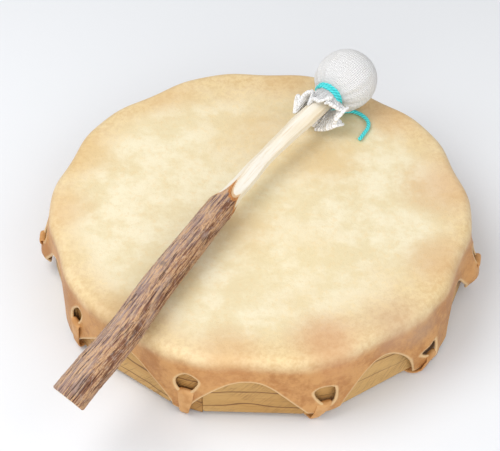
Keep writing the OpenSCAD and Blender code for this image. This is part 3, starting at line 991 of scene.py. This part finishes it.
GRIP_LINE = [(-142.5, -230, 82.5), (-133, -212, 83.3), (-122.5, -194.5, 84.2), (-112, -176.5, 85),
             (-102, -158, 85.9), (-93, -138.5, 86.8), (-83.5, -118, 87.7), (-72.5, -96.5, 88.7),
             (-61, -75, 89.7), (-49.5, -53.5, 90.8), (-39, -33.5, 91.7), (-28, -14.5, 92.5)]
SHAFT_LINE = [(-16, 6, 93.5), (-1, 31.5, 94.7), (20, 62.5, 96.3)]
BARK_T = 1.3 * MM
BUTT_R, GRIP_END_R = 14.5 * MM, 11.5 * MM
# How far the butt's saw cut leans along the stick, for each unit sideways and upward
BUTT_SIDEWAYS, BUTT_UPWARD, BUTT_RUN = 0.24, 0.47, 26 * MM
# The knife's cuts: the way each faces, where it starts before the bark's tip, and how far out it lies
CUTS = [(134, 9, 7.3), (52, 6, 7.5), (-6, 11, 7.7), (-62, 7, 7.4), (-118, 12, 7.6), (188, 13, 7.5)]
CUT_RUN = 26 * MM
STATIONS = 900
beater_points = [on_drum(*p) for p in GRIP_LINE + SHAFT_LINE] + [TIE_AT, BALL_AT + 8 * MM * NECK_AXIS]
BEATER, BEATER_RUN = smooth_line(beater_points, STATIONS + 1)
AHEAD, SIDE, UP = line_axes(BEATER)
bark_tip = np.array(on_drum(*GRIP_LINE[-1]))
TIP_RUN = float(BEATER_RUN[np.argmin(np.linalg.norm(BEATER - bark_tip, axis=1))])


def grip_radius(run):
    return BUTT_R + (GRIP_END_R - BUTT_R) * np.clip(run / TIP_RUN, 0, 1.3)


def cut_radius(turn, run):
    """Distance from the stick's middle line to the nearest cut in a direction."""
    nearest = np.full(np.broadcast(turn, run).shape, 1.0)
    past = run - TIP_RUN
    waist = 0.9 * MM * ease(past, 30 * MM, 60 * MM) * (1 - ease(past, 70 * MM, 120 * MM))
    for k, (way, before, depth) in enumerate(CUTS):
        share = np.clip((past + before * MM) / CUT_RUN, -1, 1)
        sink = np.where(share > 0, 1 - (1 - share) ** 2, 5.0 * share)
        wave = 0.16 * MM * np.sin(run / ((5 + k) * MM) + 3 * k)
        wave = wave + 0.25 * MM * np.sin(run / ((17 + 2 * k) * MM) + k)
        grip = grip_radius(run)
        distance = grip + (depth * MM - waist - grip) * sink + wave * (share > 0)
        lean = np.cos(turn - math.radians(way))
        nearest = np.minimum(nearest, np.where(lean > 0.2, distance / np.maximum(lean, 0.2), 1.0))
    return nearest


def beater_place(turn, run, radius):
    """Points round the beater's middle line, with the butt end sawn askew."""
    at = np.clip(run, 0, None) / BEATER_RUN[-1] * STATIONS
    low = np.clip(np.floor(at).astype(int), 0, STATIONS - 1)
    part = (at - low)[:, None]
    line = BEATER[low] * (1 - part) + BEATER[low + 1] * part
    side = SIDE[low] * (1 - part) + SIDE[low + 1] * part
    up = UP[low] * (1 - part) + UP[low + 1] * part
    slant = radius * (BUTT_SIDEWAYS * np.cos(turn) + BUTT_UPWARD * np.sin(turn))
    ahead = AHEAD[low] * (np.minimum(run, 0) - np.clip(1 - run / BUTT_RUN, 0, 1) * slant)[:, None]
    return line + ahead + side * (radius * np.cos(turn))[:, None] + up * (radius * np.sin(turn))[:, None]


BARK_AROUND, BARK_ALONG, BARK_BACK = 144, 420, 14
BARK_MID_R = 14 * MM
KNOT_RUN, KNOT_TURN = 0.60 * TIP_RUN, math.radians(100)
SWELLING_RUN, SWELLING_TURN = 0.17 * TIP_RUN, math.pi


def from_spot(turn, run, spot_turn, spot_run, reach, stretch=1):
    """Distance over the bark from a spot on it."""
    across = ((turn - spot_turn + math.pi) % TAU - math.pi) * reach
    return np.hypot((run - spot_run) / stretch, across)


def bark_relief(turn, run):
    """The bark's ridges and hollows, knot and swellings, in metres, with the ridge and knot masks."""
    ring = np.stack([np.cos(turn) * 3.6, np.sin(turn) * 3.6, run * 14], axis=1)
    streaks = ripple(ring, 2.4, 1, 4)
    scales = ripple(ring * [1, 1, 2.2], 5.5, 2, 3)
    broad = ripple(ring, 0.6, 3, 2)
    ridged = 1 - 2 * np.abs(streaks)
    relief = 0.45 * MM * ridged + 0.28 * MM * scales + 0.5 * MM * broad
    off = from_spot(turn, run, KNOT_TURN, KNOT_RUN, 13 * MM)
    knot = np.exp(-(off / (3.6 * MM)) ** 2)
    relief = relief + 1.1 * MM * knot - 0.9 * MM * np.exp(-(off / (1.3 * MM)) ** 2)
    swelling_off = from_spot(turn, run, SWELLING_TURN, SWELLING_RUN, BARK_MID_R, 1.6)
    relief = relief + 1.5 * MM * np.exp(-(swelling_off / (5 * MM)) ** 2)
    return relief, ridged, knot


def bark_end(turn):
    """How far along the stick the bark reaches, where the cuts have gone through it."""
    runs = np.linspace(TIP_RUN - 30 * MM, TIP_RUN + 16 * MM, 231)
    ends = []
    for one in turn:
        through = cut_radius(np.full_like(runs, one), runs) < grip_radius(runs) - BARK_T
        ends.append(runs[np.argmax(through)] if through.any() else runs[-1])
    return np.array(ends)


def make_bark():
    """The bark: its outside to the cuts, then back along its inside."""
    ring_turns = np.linspace(0, TAU, BARK_AROUND + 1)
    reach = bark_end(ring_turns)
    reach[-1] = reach[0]
    total = BARK_ALONG + BARK_BACK + 2
    kept = {}

    def place(u, v):
        column = np.rint(u * BARK_AROUND).astype(int)
        row = np.rint(v * total).astype(int)
        turn = ring_turns[column]
        outward = np.clip(row - 1, 0, BARK_ALONG) / BARK_ALONG
        back = np.clip(row - 1 - BARK_ALONG, 0, BARK_BACK) / BARK_BACK
        run = reach[column] * outward * (1 - back)
        grip = grip_radius(run)
        relief, ridged, knot = bark_relief(turn, run)
        fade = ease(run, 0, 1.5 * MM)
        cut = cut_radius(turn, run)
        full = grip + relief * (0.35 + 0.65 * fade) - 0.4 * MM * (1 - ease(run, 0, 1.2 * MM))
        outer = np.minimum(full, np.maximum(cut, grip - BARK_T))
        inner = grip - BARK_T + 0.05 * MM
        is_inner = (row == 0) | (row > BARK_ALONG + 1)
        is_cut = (full - outer > 0.25 * MM) & ~is_inner
        kept["cut"] = 1.0 * (is_cut | (row == BARK_ALONG + 1) | (row <= 0))
        kept["ridge"], kept["knot"] = ridged, knot
        kept["bark_place"] = np.stack([BARK_MID_R * np.cos(turn), BARK_MID_R * np.sin(turn), run], axis=1)
        return beater_place(turn, run, np.where(is_inner, inner, outer))

    piece = wrapped_grid("branch_bark", BARK_AROUND, total, place)
    for name, values in kept.items():
        note(piece, name, values)
    sew(piece)
    dress(piece, bark_finish(), "beater", "bark", "beater_bark")


make_bark()

STICK_AROUND, STICK_ALONG, STICK_CAP = 120, 380, 8


def make_stick():
    """The stick in one piece: round under the bark, whittled beyond it, and closed at both ends."""
    total = STICK_ALONG + 2 * STICK_CAP
    kept = {}

    def place(u, v):
        row = np.rint(v * total)
        turn = TAU * u
        along = np.clip((row - STICK_CAP) / STICK_ALONG, 0, 1)
        run = along * BEATER_RUN[-1]
        cap = np.clip(np.minimum(row, total - row) / STICK_CAP, 0, 1)
        under_bark = grip_radius(run) - BARK_T - GAP
        cut = cut_radius(turn, run)
        ring = np.stack([np.cos(turn), np.sin(turn), run * 40], axis=1)
        rough = 0.12 * MM * ripple(ring, 3.0, 6, 2)
        radius = np.minimum(under_bark, cut)
        is_whittled = (run > TIP_RUN - 30 * MM) & (radius < under_bark - 0.2 * MM)
        radius = radius + rough * is_whittled
        near_bark = 1 - ease(run, TIP_RUN + 4 * MM, TIP_RUN + 30 * MM)
        uncut = (under_bark - cut < 0.5 * MM) & (run > TIP_RUN - 40 * MM)
        butt_rim = (cap > 0.86) & (run < 0.5 * MM)
        kept["sap"] = np.maximum(np.where(uncut, 0.15 + 0.85 * near_bark, 0), 0.8 * butt_rim)
        kept["grain"] = np.stack([run, radius * np.cos(turn), radius * np.sin(turn)], axis=1)
        return beater_place(turn, run, radius * cap)

    piece = wrapped_grid("whittled_branch", STICK_AROUND, total, place)
    for name, values in kept.items():
        note(piece, name, values)
    edit(piece, merge, face_out)
    smooth_by_angle(piece, 28)
    dress(piece, whittled_finish(), "beater", "whittled_wood", "beater_stick")


make_stick()

# ---------------------------------------------------------------------------- the beater's head

KNIT_RIBS, COVER_ROWS, FRILL_ROWS = 96, 60, 9
# The ball's outline: how far along from the tie, and its radius
BALL_OUTLINE = [(55.5, 0), (55, 5.2), (53.4, 10.8), (50.2, 16.4), (45.5, 21.2), (39.5, 24.9),
                (32.5, 26.8), (25.5, 27), (18.5, 26.1), (12, 23.8), (7, 20.4), (3.8, 16.6),
                (2.3, 13.2), (1.2, 11), (0, 10.1), (-2.4, 10.6), (-4, 11.2)]
COVER_T = 1.4 * MM


def on_neck(along, radius, turn):
    """Points round the line through the tie and the ball, from the tie."""
    ring = (np.outer(np.cos(turn), NECK_RIGHT) + np.outer(np.sin(turn), NECK_UP)) * radius[:, None]
    return np.array(TIE_AT) + np.outer(along, NECK_AXIS) + ring


def pleats(turn, along):
    """The gathers that run up from the tie, deepest beside it."""
    fold = np.sin(11 * turn + 1.1 * np.sin(2 * turn)) + 0.7 * np.sin(19 * turn + 2 + 1.4 * np.sin(3 * turn))
    depth = np.exp(-np.maximum(along, 0) / (10 * MM)) + 0.16 * np.exp(-((along - 18 * MM) / (14 * MM)) ** 2)
    return 0.85 * MM * fold * depth


def make_cover():
    """The knitted bag: its outside from the tip of the ball to the tie, then back along its inside."""
    around, along_rows = 288, 120
    outline, _ = smooth_line([(a * MM, r * MM, 0) for a, r in BALL_OUTLINE], along_rows + 1)
    total = 2 * along_rows + 1

    def place(u, v):
        row = np.rint(v * total).astype(int)
        inside = row > along_rows
        at = np.where(inside, total - row, row)
        turn = TAU * u
        along, radius = outline[at, 0], outline[at, 1]
        ball = np.clip(radius / (12 * MM), 0, 1)
        dent = 0.35 * MM * np.sin(3 * turn + 1) + 0.3 * MM * np.sin(2 * turn + along / (9 * MM))
        full = radius + (pleats(turn, along) + dent * ease(along, 3 * MM, 18 * MM)) * ball
        full = np.where(inside, np.maximum(full - COVER_T, 0) * (at > 0), full)
        shift = np.where(inside & (along > 45 * MM), -COVER_T * ease(along, 45 * MM, 54 * MM), 0)
        return on_neck(along + shift, np.maximum(full, 0), turn)

    piece = wrapped_grid("jersey_cover", around, total, place)
    sew(piece)
    dress(piece, knit_finish("ribbed_jersey", KNIT_RIBS, COVER_ROWS), "beater", "knit_cloth", "beater_cover")


make_cover()


def make_wadding():
    """The lump of stuffing inside the cover, with the stick's end in it."""
    deselect()
    bpy.ops.mesh.primitive_uv_sphere_add(segments=96, ring_count=64, radius=1)
    piece = settle("stuffing")
    unit = read_points(piece)
    turn = np.arctan2(unit[:, 1], unit[:, 0])
    along = NECK_LEN + unit[:, 2] * 24.2 * MM
    radius = np.hypot(unit[:, 0], unit[:, 1]) * 24.0 * MM
    neck = 1 - 0.22 * ease(-unit[:, 2], 0.35, 1.0)
    lumps = 1 + 0.02 * ripple(unit, 4.0, 5, 3)
    write_points(piece, on_neck(along, radius * neck * np.minimum(lumps, 1.02), turn))
    sew(piece)
    dress(piece, wadding_finish(), "beater", "wadding", "beater_padding")


make_wadding()

# The frill: which way each stretch faces, how far out its edge reaches, and how far back
FRILL = [(0, 24, 9), (35, 17, 13), (70, 13.5, 20), (110, 13, 22), (150, 14.5, 24), (180, 16, 28),
         (215, 16, 26), (250, 17, 22), (285, 19.5, 23), (325, 22, 18), (360, 24, 9)]
# How far down the frill its edge starts to roll back, and how tightly
ROLL_START, ROLL_R = 0.66, 1.25 * MM


def make_frill():
    """The gathered end of the cloth beyond the tie, crumpled, with a rolled edge."""
    around, along_rows = 480, 34
    ways = np.radians([f[0] for f in FRILL])
    out = np.array([f[1] for f in FRILL]) * MM
    back = np.array([f[2] for f in FRILL]) * MM

    def place(u, v):
        turn = TAU * u
        t = np.clip(v / ROLL_START, 0, 1)
        roll = np.clip((v - ROLL_START) / (1 - ROLL_START), 0, 1) * math.pi * 1.35
        reach = np.interp(turn, ways, out)
        depth = np.interp(turn, ways, back)
        ring = np.stack([np.cos(turn) * 2, np.sin(turn) * 2, t * 1.2], axis=1)
        crumple = ripple(ring, 2.6, 8, 2)
        wave = np.sin(7 * turn + 0.9 * np.sin(2 * turn)) + 0.5 * np.sin(13 * turn + 1.3) + 0.9 * crumple
        swing = np.cos(8 * turn + 0.9 * np.sin(2 * turn))
        radius = NECK_R - 0.4 * MM + (reach - NECK_R) * t ** 1.1 + 2.1 * MM * wave * t ** 1.3
        along = 0.5 * MM - depth * t + 3.2 * MM * wave * t ** 2
        length = np.hypot(reach - NECK_R, depth)
        grow, rise = (reach - NECK_R) / length, -depth / length
        radius = radius + ROLL_R * (np.sin(roll) * grow - (1 - np.cos(roll)) * rise)
        along = along + ROLL_R * (np.sin(roll) * rise + (1 - np.cos(roll)) * grow)
        radius = np.maximum(radius, SHAFT_R + 1.6 * MM)
        points = on_neck(along, radius, turn + 0.17 * swing * t ** 1.3)
        points[:, 2] = np.maximum(points[:, 2], HEAD_TOP + 1.2 * MM)
        return points

    piece = wrapped_grid("jersey_frill", around, along_rows, place)
    edit(piece, merge, face_out)
    modify(piece, "SOLIDIFY", thickness=1.5 * MM, offset=0)
    smooth(piece)
    dress(piece, knit_finish("ribbed_jersey_frill", KNIT_RIBS, FRILL_ROWS), "beater", "knit_cloth")


make_frill()

# ---------------------------------------------------------------------------- floor and lights

deselect()
bpy.ops.mesh.primitive_plane_add(size=14, location=(0, 0, 0))
floor = settle("studio_floor")
floor.data.materials.append(floor_finish())


def softbox(name, at, aim, size, watts):
    light = bpy.data.lights.new(name, "AREA")
    light.shape = "DISK"
    light.size = size
    light.energy = watts
    lamp = bpy.data.objects.new(name, light)
    lamp.location = at
    lamp.rotation_euler = (Vector(aim) - Vector(at)).to_track_quat("-Z", "Y").to_euler()
    bpy.context.collection.objects.link(lamp)


softbox("key_softbox", (-0.85, -0.1, 1.5), (0, 0, 0), 1.3, 16)
softbox("fill_softbox", (1.2, -0.8, 1.2), (0, 0, 0.03), 1.8, 8)
softbox("front_softbox", (-0.2, -1.7, 0.8), (0, 0, 0.03), 1.5, 11)
world = bpy.data.worlds.new("studio_air")
world.use_nodes = True
air = world.node_tree.nodes["Background"].inputs
air["Color"].default_value = (1.0, 0.99, 0.98, 1)
air["Strength"].default_value = 0.56
bpy.context.scene.world = world
